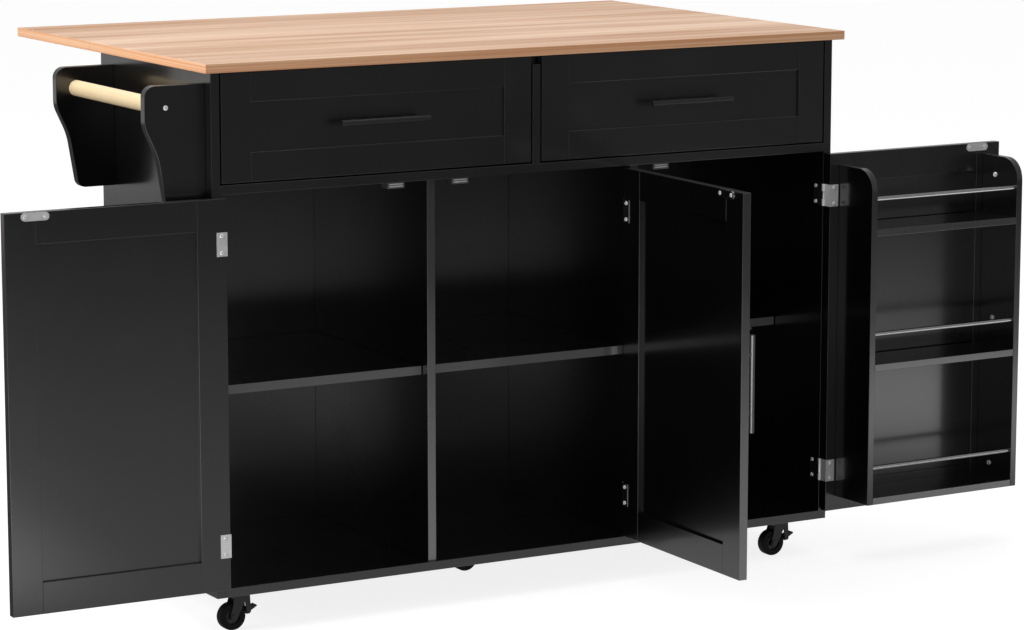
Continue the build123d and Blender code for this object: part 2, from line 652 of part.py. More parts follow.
def caster_levels():
    """Heights in a caster: race underside, crown top and underside, from the plate down."""
    race_low = CASTER_HEIGHT - CASTER_PLATE_THICKNESS - RACE_HEIGHT
    crown_top = race_low - KNUCKLE_GAP
    return race_low, crown_top, crown_top - CROWN_THICKNESS


def caster_plate():
    """A mounting plate with its race and kingpin in one piece, and four screws, about the swivel axis."""
    race_low, _, crown_low = caster_levels()
    half = CASTER_PLATE / 2
    plate_low = CASTER_HEIGHT - CASTER_PLATE_THICKNESS
    plate = block((-half, half), (-half, half), (plate_low, CASTER_HEIGHT))
    plate += rod("z", 0, 0, (race_low, plate_low), RACE_RADIUS)
    head_top = crown_low - KNUCKLE_GAP
    plate += rod("z", 0, 0, (head_top, race_low), KINGPIN_RADIUS)
    plate += rod("z", 0, 0, (head_top - KINGPIN_HEAD, head_top), KINGPIN_HEAD_RADIUS)
    pieces = [plate]
    offset = CASTER_SCREW_CENTRES / 2
    for x in (-offset, offset):
        for y in (-offset, offset):
            pieces.append(rod("z", x, y, (plate_low - CASTER_SCREW_HEAD, plate_low), SCREW_HEAD_RADIUS))
    return pieces


def caster_fork(braked):
    """A crown with two legs that trail to the axle, the axle and, where there is a brake, the lever's pin."""
    _, crown_top, crown_low = caster_levels()
    inner = WHEEL_WIDTH / 2 + FORK_SIDE_GAP
    outer = inner + FORK_WALL
    fork = block((-CROWN_BACK, CROWN_FRONT), (-outer, outer), (crown_low, crown_top))
    fork -= rod("z", 0, 0, (crown_low, crown_top), KINGPIN_RADIUS + PIN_CLEARANCE)
    boss = Pos(-CASTER_TRAIL, WHEEL_RADIUS) * Circle(FORK_BOSS_RADIUS)
    ear = Pos(LEVER_PIN_X, LEVER_PIN_HEIGHT) * Circle(LEVER_EAR_RADIUS)
    web = [(-FORK_LEG_BACK, FORK_LEG_FRONT, boss)]
    if braked:
        web.append((FORK_LEG_FRONT - LEVER_EAR_RADIUS, CROWN_FRONT, ear))
    for back, front, end in web:
        place = Pos((back + front) / 2, (crown_low + crown_top) / 2)
        root = place * Rectangle(front - back, CROWN_THICKNESS)
        leg = make_hull(root.edges() + end.edges())
        for start in (-outer, inner):
            fork += Pos(0, start, 0) * extrude(Plane.XZ * leg, FORK_WALL, dir=(0, 1, 0))
    span = (-outer, outer)
    fork -= rod("y", -CASTER_TRAIL, WHEEL_RADIUS, span, AXLE_RADIUS + PIN_CLEARANCE)
    axle = rod("y", -CASTER_TRAIL, WHEEL_RADIUS, span, AXLE_RADIUS)
    for head in ((-outer - AXLE_HEAD, -outer), (outer, outer + AXLE_HEAD)):
        axle += rod("y", -CASTER_TRAIL, WHEEL_RADIUS, head, AXLE_HEAD_RADIUS)
    pieces = [axle]
    if braked:
        fork -= rod("y", LEVER_PIN_X, LEVER_PIN_HEIGHT, span, LEVER_PIN_RADIUS + PIN_CLEARANCE)
        pieces.append(rod("y", LEVER_PIN_X, LEVER_PIN_HEIGHT, span, LEVER_PIN_RADIUS))
    return [fork] + pieces


def caster_wheel():
    """A hub with a thin web and a bored boss, and the tyre on its rim."""
    half = WHEEL_WIDTH / 2
    rim = WHEEL_RADIUS - TYRE_THICKNESS
    place = Pos(-CASTER_TRAIL, 0, WHEEL_RADIUS) * Rot(90, 0, 0)
    hub = Cylinder(rim, WHEEL_WIDTH)
    dish = Cylinder(rim - HUB_RIM, half - HUB_WEB / 2)
    for side in (-1, 1):
        hub -= Pos(0, 0, side * (half + HUB_WEB / 2) / 2) * dish
    hub += Cylinder(HUB_BOSS_RADIUS, WHEEL_WIDTH + 2 * HUB_BOSS_PROUD)
    hub -= Cylinder(AXLE_RADIUS + PIN_CLEARANCE, WHEEL_WIDTH + 2 * HUB_BOSS_PROUD)
    tyre = Cylinder(WHEEL_RADIUS, WHEEL_WIDTH)
    tyre = fillet(tyre.edges(), TYRE_ROUND) - Cylinder(rim, WHEEL_WIDTH)
    return [place * hub, place * tyre]


def brake_lever():
    """A pedal on a bored hub, with a shoe that swings towards the tyre."""
    x, z = LEVER_PIN_X, LEVER_PIN_HEIGHT
    span = (-LEVER_HALF_WIDTH, LEVER_HALF_WIDTH)
    lever = rod("y", x, z, span, LEVER_HUB_RADIUS)
    hub = Pos(x, z) * Circle(LEVER_HUB_RADIUS)
    tip = Pos(x + LEVER_LENGTH, z + LEVER_RISE) * Circle(LEVER_TIP)
    pedal = make_hull(hub.edges() + tip.edges())
    lever += Pos(0, span[0], 0) * extrude(Plane.XZ * pedal, span[1] - span[0], dir=(0, 1, 0))
    lever += block((x - LEVER_SHOE_HALF, x + LEVER_SHOE_HALF), span, (z - LEVER_SHOE_DROP, z))
    return lever - rod("y", x, z, span, LEVER_PIN_RADIUS + PIN_CLEARANCE)


def casters():
    """Five swivel casters under the bottom board, the front two with brakes."""
    plates = []
    for name, (x, y) in CASTERS.items():
        place = Pos(x, y, 0)
        braked = name in BRAKED
        plates += [place * piece for piece in caster_plate()]
        nodes[name + "_fork"] = [place * piece for piece in caster_fork(braked)]
        nodes[name + "_wheel"] = [place * piece for piece in caster_wheel()]
        if braked:
            nodes[name + "_brake_lever"] = [place * brake_lever()]
    nodes["caster_plates"] = plates


cabinet()
shelves()
towel_rail()
worktop_and_leaf()
leaf_stays()
panel_leaves()
doors()
catches()
spice_rack()
drawers()
casters()

# The origin goes to the middle of the whole box, on the floor
shapes = {}
for name, pieces in nodes.items():
    shapes[name] = Compound(children=[solid for piece in pieces for solid in piece.solids()])
boxes = [shape.bounding_box() for shape in shapes.values()]
ORIGIN_X = (min(box.min.X for box in boxes) + max(box.max.X for box in boxes)) / 2
ORIGIN_Y = (min(box.min.Y for box in boxes) + max(box.max.Y for box in boxes)) / 2

os.makedirs("parts", exist_ok=True)
for name, shape in shapes.items():
    export_step(Pos(-ORIGIN_X, -ORIGIN_Y, 0) * shape, os.path.join("parts", name + ".step"))
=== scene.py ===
import json
import math

import bpy
import numpy as np
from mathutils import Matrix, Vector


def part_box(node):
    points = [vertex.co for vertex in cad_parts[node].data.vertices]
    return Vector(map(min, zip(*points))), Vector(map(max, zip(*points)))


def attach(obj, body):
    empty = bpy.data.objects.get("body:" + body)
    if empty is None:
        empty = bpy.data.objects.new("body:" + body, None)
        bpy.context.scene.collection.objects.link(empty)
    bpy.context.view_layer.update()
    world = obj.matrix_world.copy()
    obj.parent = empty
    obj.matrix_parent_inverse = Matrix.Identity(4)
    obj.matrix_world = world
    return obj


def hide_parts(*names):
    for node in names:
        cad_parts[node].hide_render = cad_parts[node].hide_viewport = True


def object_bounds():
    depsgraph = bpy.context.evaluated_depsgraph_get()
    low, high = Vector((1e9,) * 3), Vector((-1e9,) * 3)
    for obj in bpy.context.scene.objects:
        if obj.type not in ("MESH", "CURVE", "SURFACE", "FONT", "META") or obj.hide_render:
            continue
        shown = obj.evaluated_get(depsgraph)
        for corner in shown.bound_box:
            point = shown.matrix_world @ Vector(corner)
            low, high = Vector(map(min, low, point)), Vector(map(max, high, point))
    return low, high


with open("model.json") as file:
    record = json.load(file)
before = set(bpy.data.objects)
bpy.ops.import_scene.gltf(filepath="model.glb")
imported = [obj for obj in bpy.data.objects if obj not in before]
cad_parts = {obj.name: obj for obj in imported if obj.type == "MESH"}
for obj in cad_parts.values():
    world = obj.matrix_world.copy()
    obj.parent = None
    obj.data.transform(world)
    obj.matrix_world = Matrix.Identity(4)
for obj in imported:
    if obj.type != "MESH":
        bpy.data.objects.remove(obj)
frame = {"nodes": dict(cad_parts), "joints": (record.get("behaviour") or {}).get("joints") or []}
cad_box = [list(corner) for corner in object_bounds()]

# Studio: a white floor in a white surround. A broad lamp hangs over the cart, one to its left is kept out of
# mirror-like surfaces, and one in front lights only the door handles. In mirror-like surfaces the floor glows with
# painted light: brightest close to the cart and fading with distance, as it would under lamps, and raised to the
# sides and in a painted pool before the rack.
FRONT_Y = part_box("side_panel_left")[0].y
EYE_LEFT = 2.93618
EYE_AHEAD = 5.02214
EYE_HEIGHT = 1.45039
EYE_TILT = 0.16619
EYE_HEADING = 0.52212
LENS_MM = 125.46
SENSOR_MM = 36.0
FAR_CLIP = 100.0
camera_data = bpy.data.cameras.new("camera")
camera_data.sensor_fit = "HORIZONTAL"
camera_data.sensor_width = SENSOR_MM
camera_data.lens = LENS_MM
camera_data.clip_end = FAR_CLIP
camera = bpy.data.objects.new("camera", camera_data)
camera.location = (-EYE_LEFT, FRONT_Y - EYE_AHEAD, EYE_HEIGHT)
camera.rotation_euler = (math.pi / 2 - EYE_TILT, 0.0, -EYE_HEADING)
bpy.context.scene.collection.objects.link(camera)
bpy.context.scene.camera = camera
bpy.context.scene.view_settings.view_transform = "Standard"


def area_lamp(name, place, aim, size, power, mirrored=True):
    """A rectangular lamp at a place, turned to look at a point, seen in mirror-like surfaces or not."""
    data = bpy.data.lights.new(name, "AREA")
    data.shape = "RECTANGLE"
    data.size, data.size_y = size
    data.energy = power
    lamp = bpy.data.objects.new(name, data)
    lamp.location = place
    toward = Vector(aim) - Vector(place)
    lamp.rotation_euler = toward.to_track_quat("-Z", "Y").to_euler()
    lamp.visible_glossy = mirrored
    bpy.context.scene.collection.objects.link(lamp)
    return lamp


area_lamp("overhead_lamp", place=(-0.3, 0.3, 3.6), aim=(0.0, 0.1, 0.9), size=(4.6, 3.6), power=92.0)
area_lamp("left_lamp", place=(-4.4, -0.4, 2.3), aim=(-0.3, 0.0, 0.5), size=(2.4, 2.2), power=132.0, mirrored=False)
handle_lamp = area_lamp("handle_lamp", place=(-1.16, -3.4, 0.65), aim=(0.19, -0.5, 0.4), size=(1.6, 1.2), power=290.0)
handle_lamp.visible_camera = False
door_handles = bpy.data.collections.new("door_handles")
handle_lamp.light_linking.receiver_collection = door_handles


def feed(tree, socket, value):
    """Gives a socket a plain value, or a link where the value is another node's socket."""
    if isinstance(value, bpy.types.NodeSocket):
        tree.links.new(value, socket)
    else:
        socket.default_value = value


def reckon(tree, operation, *values, clamp=False):
    """A sum, product or other operation on sockets and plain numbers, held between nought and one or not."""
    node = tree.nodes.new("ShaderNodeMath")
    node.operation = operation
    node.use_clamp = clamp
    for socket, value in zip(node.inputs, values):
        feed(tree, socket, value)
    return node.outputs[0]


def mirror_rays(tree):
    """One for a ray that comes from a mirror-like or a see-through surface, nought for any other."""
    path = tree.nodes.new("ShaderNodeLightPath").outputs
    return reckon(tree, "MAXIMUM", path["Is Glossy Ray"], path["Is Transmission Ray"])


def camera_rays(tree):
    """One for a ray that comes straight from the camera, nought for any other."""
    return tree.nodes.new("ShaderNodeLightPath").outputs["Is Camera Ray"]


def either(tree, share, first, second):
    """The first shader where share is nought and the second where it is one."""
    node = tree.nodes.new("ShaderNodeMixShader")
    for socket, value in zip(node.inputs, (share, first, second)):
        tree.links.new(value, socket)
    return node.outputs[0]


def white_sky(tree, strength):
    """A white background of one strength."""
    node = tree.nodes.new("ShaderNodeBackground")
    node.inputs["Color"].default_value = (1.0, 1.0, 1.0, 1.0)
    node.inputs["Strength"].default_value = strength
    return node.outputs[0]


SKY_SEEN = 1.0
SKY_MIRRORED = 0.38
SKY_AMBIENT = 0.46
world = bpy.data.worlds.new("white_surround")
world.use_nodes = True
bpy.context.scene.world = world
tree = world.node_tree
tree.nodes.clear()
unseen = either(tree, mirror_rays(tree), white_sky(tree, SKY_AMBIENT), white_sky(tree, SKY_MIRRORED))
surround = either(tree, camera_rays(tree), unseen, white_sky(tree, SKY_SEEN))
tree.links.new(surround, tree.nodes.new("ShaderNodeOutputWorld").inputs["Surface"])


def grid_faces(rows, columns, close_rows=False, close_columns=False):
    """Quads between neighbours of a rows x columns grid of points; a closed way joins its last line to its first."""
    i = np.arange(rows if close_rows else rows - 1)[:, None]
    j = np.arange(columns if close_columns else columns - 1)[None, :]
    here = i * columns + j
    right = i * columns + (j + 1) % columns
    below = ((i + 1) % rows) * columns + j
    across = ((i + 1) % rows) * columns + (j + 1) % columns
    return np.stack([here, right, across, below], axis=-1).reshape(-1, 4)


def new_piece(name, points, faces, smooth=True):
    """An object at the origin with its place in its mesh, from an array of points and a list of arrays of faces."""
    mesh = bpy.data.meshes.new(name)
    corners = [face for block in faces for face in block.tolist()]
    mesh.from_pydata(np.asarray(points, float).reshape(-1, 3).tolist(), [], corners)
    mesh.polygons.foreach_set("use_smooth", np.full(len(mesh.polygons), smooth))
    mesh.validate()
    mesh.update()
    piece = bpy.data.objects.new(name, mesh)
    bpy.context.scene.collection.objects.link(piece)
    return piece


FLOOR_REACH = 14.0
FLOOR_LINES = 9
lines = np.linspace(-FLOOR_REACH, FLOOR_REACH, FLOOR_LINES)
across, along = np.meshgrid(lines, lines)
floor_points = np.stack([across, along, np.zeros_like(across)], axis=-1)
floor = new_piece("floor", floor_points, [grid_faces(FLOOR_LINES, FLOOR_LINES)])


def spread(tree, value, taken, given, soft=False):
    """Carries a value from the range taken to the range given, held at the ends, evenly or with soft ends."""
    node = tree.nodes.new("ShaderNodeMapRange")
    node.interpolation_type = "SMOOTHSTEP" if soft else "LINEAR"
    feed(tree, node.inputs["Value"], value)
    for label, level in zip(("From Min", "From Max", "To Min", "To Max"), (*taken, *given)):
        feed(tree, node.inputs[label], level)
    return node.outputs["Result"]


def axes(tree, vector):
    """The three parts of a vector, by their letters."""
    node = tree.nodes.new("ShaderNodeSeparateXYZ")
    tree.links.new(vector, node.inputs[0])
    return node.outputs


def away_from(tree, where, centre):
    """How far a point is from a centre."""
    node = tree.nodes.new("ShaderNodeVectorMath")
    node.operation = "DISTANCE"
    node.inputs[1].default_value = centre
    tree.links.new(where, node.inputs[0])
    return node.outputs["Value"]


# The floor's painted light, seen only in mirror-like surfaces: for each, two distances or two places along an axis,
# and the level at either. The front fades outwards and is raised to the left, to the right and in a painted pool of
# light before the rack.
FLOOR_GREY = (0.3, 0.3, 0.3, 1.0)
FLOOR_GLOW = 0.84
CART_FOOT = (0.0, FRONT_Y, 0.0)
FRONT_FADE = (0.6, 5.0), (1.17, 0.06)
LEFT_RISE = (-0.95, -0.45), (1.0, 0.0)
FORWARD_RISE = (FRONT_Y - 0.9, FRONT_Y - 0.2), (1.0, 0.0)
LEFT_GAIN = 2.6
RIGHT_RISE = (2.2, 3.1), (0.5, 1.1)
LIGHT_POOL_CENTRE = (1.65, FRONT_Y - 1.2, 0.0)
LIGHT_POOL_FADE = (0.15, 1.0), (1.6, 0.0)
UNDER_FADE = (0.4, 0.95), (0.5, 0.1)
BACK_RISE = (4.6, 6.0), (0.1, 0.55)
BEHIND = (FRONT_Y - 0.2, FRONT_Y + 0.2), (0.0, 1.0)
floor_paint = bpy.data.materials.new("white_floor")
floor_paint.use_nodes = True
tree = floor_paint.node_tree
tree.nodes.clear()
matt = tree.nodes.new("ShaderNodeBsdfDiffuse")
matt.inputs["Color"].default_value = FLOOR_GREY
glow = tree.nodes.new("ShaderNodeEmission")
tree.links.new(reckon(tree, "MULTIPLY", camera_rays(tree), FLOOR_GLOW), glow.inputs["Strength"])
lit = tree.nodes.new("ShaderNodeAddShader")
tree.links.new(matt.outputs[0], lit.inputs[0])
tree.links.new(glow.outputs[0], lit.inputs[1])
where = tree.nodes.new("ShaderNodeTexCoord").outputs["Object"]
place = axes(tree, where)
apart = away_from(tree, where, CART_FOOT)
leftward = spread(tree, place["X"], *LEFT_RISE, soft=True)
forward = spread(tree, place["Y"], *FORWARD_RISE, soft=True)
rightward = spread(tree, place["X"], *RIGHT_RISE, soft=True)
sides = reckon(tree, "MULTIPLY_ADD", reckon(tree, "MULTIPLY", leftward, forward), LEFT_GAIN, rightward)
# A painted pool of light on the floor before the rack, seen only in reflections.
light_pool = spread(tree, away_from(tree, where, LIGHT_POOL_CENTRE), *LIGHT_POOL_FADE, soft=True)
front_level = reckon(tree, "MULTIPLY_ADD", spread(tree, apart, *FRONT_FADE), sides, light_pool)
back_level = reckon(tree, "MAXIMUM", spread(tree, apart, *UNDER_FADE), spread(tree, apart, *BACK_RISE))
behind = spread(tree, place["Y"], *BEHIND, soft=True)
level = reckon(tree, "MULTIPLY_ADD", behind, reckon(tree, "SUBTRACT", back_level, front_level), front_level)
# Painted light: the floor glows by these levels only for rays from mirror-like surfaces.
painted_reflection_glow = tree.nodes.new("ShaderNodeEmission")
tree.links.new(level, painted_reflection_glow.inputs["Strength"])
shown = either(tree, mirror_rays(tree), lit.outputs[0], painted_reflection_glow.outputs[0])
tree.links.new(shown, tree.nodes.new("ShaderNodeOutputMaterial").inputs["Surface"])
floor.data.materials.append(floor_paint)

# Casters: five swivel casters screwed under the bottom board, pressed steel forks with a dark coat, soft black
# tyres on moulded hubs, and a foot lever on each of the front two.
CASTER_NAMES = ("front_left", "front_right", "middle", "rear_left", "rear_right")


def new_material(name, colour, roughness, metallic=0.0):
    """A material with one Principled shader, given its plain values, and its node tree."""
    material = bpy.data.materials.new(name)
    material.use_nodes = True
    shader = material.node_tree.nodes["Principled BSDF"]
    shader.inputs["Base Color"].default_value = (*colour, 1.0)
    shader.inputs["Roughness"].default_value = roughness
    shader.inputs["Metallic"].default_value = metallic
    return material, material.node_tree, shader


def dress(material, *names):
    """Puts a material on every slot of the named CAD nodes."""
    for name in names:
        node = frame["nodes"][name]
        if not node.material_slots:
            node.data.materials.append(material)
        for slot in node.material_slots:
            slot.material = material


def noise(tree, vector, scale, detail, stretch=None):
    """A noise of some scale and detail, read at a vector that may first be stretched by three factors."""
    node = tree.nodes.new("ShaderNodeTexNoise")
    feed(tree, node.inputs["Scale"], scale)
    feed(tree, node.inputs["Detail"], detail)
    if stretch is not None:
        mapping = tree.nodes.new("ShaderNodeMapping")
        feed(tree, mapping.inputs["Scale"], stretch)
        tree.links.new(vector, mapping.inputs["Vector"])
        vector = mapping.outputs["Vector"]
    tree.links.new(vector, node.inputs["Vector"])
    return node.outputs["Fac"]


def mixed(tree, share, first, second, blend="MIX"):
    """A colour between two by a share from nought to one, or their product at a share of one and blend MULTIPLY."""
    node = tree.nodes.new("ShaderNodeMix")
    node.data_type = "RGBA"
    node.blend_type = blend
    sockets = {socket.identifier: socket for socket in node.inputs}
    for label, value in (("Factor_Float", share), ("A_Color", first), ("B_Color", second)):
        feed(tree, sockets[label], value)
    return next(socket for socket in node.outputs if socket.identifier == "Result_Color")


def surface_group(name, **inputs):
    """A node group with the named inputs, each of its own kind, that gives a colour, a gloss and a height; returned
    with the sockets of its two ends."""
    group = bpy.data.node_groups.new(name, "ShaderNodeTree")
    for label, kind in inputs.items():
        group.interface.new_socket(label, in_out="INPUT", socket_type="NodeSocket" + kind)
    for label, kind in (("Colour", "Color"), ("Gloss", "Float"), ("Height", "Float")):
        group.interface.new_socket(label, in_out="OUTPUT", socket_type="NodeSocket" + kind)
    return group, group.nodes.new("NodeGroupInput").outputs, group.nodes.new("NodeGroupOutput").inputs


def lay_on(tree, shader, group, strength, depth, **values):
    """Joins a surface group, given its values, to a shader: colour, gloss, and height as a relief of some depth."""
    film = tree.nodes.new("ShaderNodeGroup")
    film.node_tree = group
    for label, value in values.items():
        feed(tree, film.inputs[label], value)
    bump = tree.nodes.new("ShaderNodeBump")
    bump.inputs["Strength"].default_value = strength
    bump.inputs["Distance"].default_value = depth
    tree.links.new(film.outputs["Height"], bump.inputs["Height"])
    tree.links.new(bump.outputs["Normal"], shader.inputs["Normal"])
    tree.links.new(film.outputs["Gloss"], shader.inputs["Roughness"])
    tree.links.new(film.outputs["Colour"], shader.inputs["Base Color"])


# A coat's figure, on Object coordinates: fine peel as its height, a gloss that changes slowly and is duller where it
# is rubbed, and a tone that is a little uneven.
PEEL_STRENGTH = 0.25
CLEAR_ROUGHNESS = 0.14
coat_surface, given, result = surface_group("coat_surface", Peel="Float", Low="Float", High="Float", Shade="Color")
where = coat_surface.nodes.new("ShaderNodeTexCoord").outputs["Object"]
rubbed = spread(coat_surface, noise(coat_surface, where, scale=14.0, detail=5.0), (0.56, 0.8), (0.0, 0.06))
slow = spread(coat_surface, noise(coat_surface, where, scale=3.2, detail=3.0), (0.3, 0.7),
              (given["Low"], given["High"]))
tone = spread(coat_surface, noise(coat_surface, where, scale=9.0, detail=4.0), (0.3, 0.7), (0.8, 1.2))
feed(coat_surface, result["Height"], noise(coat_surface, where, scale=given["Peel"], detail=1.0))
feed(coat_surface, result["Gloss"], reckon(coat_surface, "ADD", slow, rubbed))
feed(coat_surface, result["Colour"], mixed(coat_surface, 1.0, given["Shade"], tone, "MULTIPLY"))


def coated(name, colour, gloss, peel_scale, peel_depth, clear=0.0):
    """A sprayed or rolled coat with fine peel, slow changes of gloss and faint rubbed streaks; gloss is its low and
    high roughness, and clear the weight of a clear coat over it."""
    material, tree, shader = new_material(name, colour, gloss[0])
    shader.inputs["Coat Weight"].default_value = clear
    shader.inputs["Coat Roughness"].default_value = CLEAR_ROUGHNESS
    lay_on(tree, shader, coat_surface, PEEL_STRENGTH, peel_depth,
           Peel=peel_scale, Low=gloss[0], High=gloss[1], Shade=(*colour, 1.0))
    return material


RUBBER_SPECULAR = 0.2
fork_coat = coated("fork_coat", (0.009, 0.009, 0.0095), gloss=(0.26, 0.38), peel_scale=1800.0, peel_depth=0.00006)
tyre_rubber = coated("tyre_rubber", (0.004, 0.004, 0.004), gloss=(0.55, 0.68), peel_scale=2600.0, peel_depth=0.0001)
tyre_rubber.node_tree.nodes["Principled BSDF"].inputs["Specular IOR Level"].default_value = RUBBER_SPECULAR
hub_plastic = coated("hub_plastic", (0.07, 0.07, 0.073), gloss=(0.34, 0.46), peel_scale=2200.0, peel_depth=0.00005)
dress(fork_coat, "caster_plates", "front_left_brake_lever", "front_right_brake_lever")

HUB_INNER = 0.0058
HUB_OUTER = 0.0126
HUB_WEB_FACE = 0.003
HUB_BURIED = 0.0006
HUB_STEPS = 90
HUB_SECTION = 20
HUB_SQUARENESS = 0.45
SPOKES = 5
SPOKE_RISE = 0.0034
SPOKE_POWER = 3
HOLLOW_SHARE = 0.12


def squared_off(wave, power):
    """A sine or cosine to a power below one with its sign kept, which turns a round loop into a squarer one."""
    return np.sign(wave) * np.abs(wave) ** power


def hub_face(centre, side):
    """A ring in the dish of a wheel: a squared-off round section carried round the axle, whose outer side rises and
    falls as the third power of a raised cosine, which leaves five spokes with hollows between them."""
    turn = np.linspace(0.0, 2 * np.pi, HUB_STEPS, endpoint=False)[:, None]
    ring = np.linspace(0.0, 2 * np.pi, HUB_SECTION, endpoint=False)[None, :]
    middle = (HUB_INNER + HUB_OUTER) / 2
    half = (HUB_OUTER - HUB_INNER) / 2
    radius = middle + half * squared_off(np.cos(ring), HUB_SQUARENESS) + 0 * turn
    raised = (0.5 + 0.5 * np.cos(SPOKES * turn)) ** SPOKE_POWER
    rise = SPOKE_RISE * (HOLLOW_SHARE + (1 - HOLLOW_SHARE) * raised)
    lifted = squared_off(np.sin(ring), HUB_SQUARENESS)
    out = HUB_WEB_FACE + np.where(lifted > 0, rise * lifted, HUB_BURIED * lifted)
    points = np.stack([centre[0] + radius * np.cos(turn), centre[1] + side * out + 0 * turn,
                       centre[2] + radius * np.sin(turn)], axis=-1)
    faces = grid_faces(HUB_STEPS, HUB_SECTION, True, True)
    return points, [faces if side > 0 else faces[:, ::-1]]


for name in CASTER_NAMES:
    low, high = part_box(name + "_wheel")
    axle = (np.array(low) + np.array(high)) / 2
    dress(fork_coat, name + "_fork")
    dress(tyre_rubber, name + "_wheel")
    for side, which in ((-1, "near"), (1, "far")):
        hub = new_piece(name + "_hub_" + which, *hub_face(axle, side))
        hub.data.materials.append(hub_plastic)
        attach(hub, name + "_roller")

# Carcass: side panels, bottom, deck, dividers and back of fibreboard, cam-fixed to one another and painted in a
# semi-gloss black that mirrors the floor softly. Some front edges carry a painted highlight, a grey base colour
# strongest near the floor.
LACQUER = dict(colour=(0.0013, 0.0013, 0.0014), gloss=(0.26, 0.33), peel_scale=900.0, peel_depth=0.00004, clear=1.0)
# Painted highlight on front edges: a grey base colour set by facing, depth and height, strongest near the floor.
EDGE_HIGHLIGHT_GREY = (0.22, 0.22, 0.228, 1.0)
EDGE_FACING = (-0.95, -0.6), (1.0, 0.0)
EDGE_HIGHLIGHT_HEIGHTS = (0.1, 0.55), (1.0, 0.12)
EDGE_SOFTNESS = 0.001


def lay_over(material, share, colour):
    """Shows another colour on a material where share is one."""
    tree = material.node_tree
    base = tree.nodes["Principled BSDF"].inputs["Base Color"]
    tree.links.new(mixed(tree, share, base.links[0].from_socket, colour), base)


def edge_highlighted(name, end):
    """Black lacquer with a painted highlight: grey on front-facing faces before end, strongest near the floor."""
    material = coated(name, **LACQUER)
    tree = material.node_tree
    where = tree.nodes.new("ShaderNodeTexCoord").outputs
    place = axes(tree, where["Object"])
    facing = spread(tree, axes(tree, where["Normal"])["Y"], *EDGE_FACING)
    before = spread(tree, place["Y"], (end, end + EDGE_SOFTNESS), (1.0, 0.0))
    highlight_by_height = spread(tree, place["Z"], *EDGE_HIGHLIGHT_HEIGHTS)
    share = reckon(tree, "MULTIPLY", reckon(tree, "MULTIPLY", facing, before), highlight_by_height)
    lay_over(material, share, EDGE_HIGHLIGHT_GREY)
    return material


black_lacquer = coated("black_lacquer", **LACQUER)
highlit_edge_lacquer = edge_highlighted("highlit_edge_lacquer", end=cad_box[1][1])
dress(black_lacquer, "side_panel_left", "side_panel_right", "bottom_board", "deck_board", "drawer_divider",
      "back_panel", "top_stretchers", "divider_right")
dress(highlit_edge_lacquer, "divider_left")

# Shelves: one full-depth shelf in each of the left and middle bays and a short one behind the rack, lying on bent
# zinc-plated angles that are screwed to the panels.
# The shelves' front edges carry the painted grey highlight.
dress(highlit_edge_lacquer, "full_shelves", "short_shelf")

# Steel's figure, on Object coordinates: fine drawn lines as its height, and a cloudy film that changes its gloss and
# its tone.
STEEL_STRENGTH = 0.3
STEEL_RELIEF = 0.00001
LINE_SHARE = 0.5
steel_surface, given, result = surface_group("steel_surface", Drawn="Vector", Low="Float", High="Float",
                                             Shade="Color")
where = steel_surface.nodes.new("ShaderNodeTexCoord").outputs["Object"]
drawn_lines = noise(steel_surface, where, scale=900.0, detail=3.0, stretch=given["Drawn"])
cloud = noise(steel_surface, where, scale=130.0, detail=3.0)
dull = reckon(steel_surface, "MULTIPLY_ADD", drawn_lines, LINE_SHARE,
              spread(steel_surface, cloud, (0.3, 0.7), (0.0, 1.0 - LINE_SHARE)))
tone = spread(steel_surface, cloud, (0.25, 0.75), (0.9, 1.04))
feed(steel_surface, result["Height"], drawn_lines)
feed(steel_surface, result["Gloss"], spread(steel_surface, dull, (0.0, 1.0), (given["Low"], given["High"])))
feed(steel_surface, result["Colour"], mixed(steel_surface, 1.0, given["Shade"], tone, "MULTIPLY"))


def steel(name, colour, gloss, drawn, metallic=1.0):
    """Plated or polished steel with a cloudy film and fine drawn lines: gloss is its low and high roughness, and
    drawn the scale of the lines along each axis, smallest along their run."""
    material, tree, shader = new_material(name, colour, gloss[0], metallic)
    lay_on(tree, shader, steel_surface, STEEL_STRENGTH, STEEL_RELIEF,
           Drawn=drawn, Low=gloss[0], High=gloss[1], Shade=(*colour, 1.0))
    return material


zinc_plate = steel("zinc_plate", (0.9, 0.9, 0.91), gloss=(0.16, 0.26), drawn=(1.0, 1.0, 0.3), metallic=0.45)
dress(zinc_plate, "shelf_supports")

# Doors: three framed doors of painted fibreboard with a recessed infill, and on the outer face of each a black
# powder-coated bar handle on two posts. The middle door's free edge carries the painted grey highlight.
DOOR_NAMES = ("left_door", "middle_door", "right_door")
FREE_EDGE = 0.001
highlit_free_edge_lacquer = edge_highlighted("highlit_free_edge_lacquer", end=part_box("middle_door")[0].y + FREE_EDGE)
powder_black = coated("powder_black", (0.006, 0.006, 0.0065), gloss=(0.34, 0.46), peel_scale=2600.0,
                      peel_depth=0.00008)
for name in DOOR_NAMES:
    dress(highlit_free_edge_lacquer if name == "middle_door" else black_lacquer, name)
    dress(powder_black, name + "_handle")
    door_handles.objects.link(frame["nodes"][name + "_handle"])

